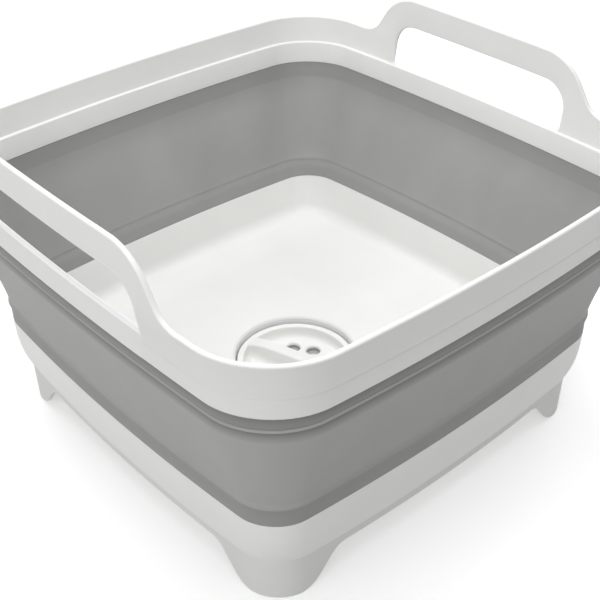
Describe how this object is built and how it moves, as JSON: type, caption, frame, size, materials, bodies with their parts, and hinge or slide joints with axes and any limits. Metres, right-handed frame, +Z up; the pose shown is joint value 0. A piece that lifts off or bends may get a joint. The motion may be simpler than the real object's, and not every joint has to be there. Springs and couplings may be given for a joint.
{
  "type": "collapsible camp washbasin",
  "caption": "Square washbasin on four corner feet, with a white rim and base, a soft grey wall that folds down, two arched handles, and a turning drain plug in the floor.",
  "frame": {"origin": "on the ground under the middle of the basin", "axes": "+Z up, +X towards one of the two handles, +Y along the handles"},
  "size_m": [0.3166, 0.323, 0.2123],
  "materials": {
    "white_moulding": "satin moulded polypropylene",
    "grey_soft_wall": "matt soft moulded rubber",
    "grey_gasket": "smooth soft rubber"
  },
  "bodies": {
    "base": {"base_tray": "white_moulding", "drain_cup": "white_moulding", "wall_bottom_hem": "grey_soft_wall", "fold_panel": "grey_soft_wall"},
    "rim": {"top_rim": "white_moulding", "wall_top_hem": "grey_soft_wall"},
    "drain_seal": {"drain_gasket": "grey_gasket"},
    "drain_knob": {"drain_plug": "white_moulding"}
  },
  "joints": [
    {"name": "collapse", "type": "slide", "parent": "base", "child": "rim", "axis": [0, 0, 1], "range_m": [-0.11, 0], "deforming": ["fold_panel"]},
    {"name": "drain_lift", "type": "slide", "parent": "base", "child": "drain_seal", "axis": [0, 0, 1], "range_m": [0, 0.05]},
    {"name": "drain_twist", "type": "hinge", "parent": "drain_seal", "child": "drain_knob", "pos_m": [0, 0, 0.0172], "axis": [0, 0, 1], "range_deg": [0, 120]}
  ]
}
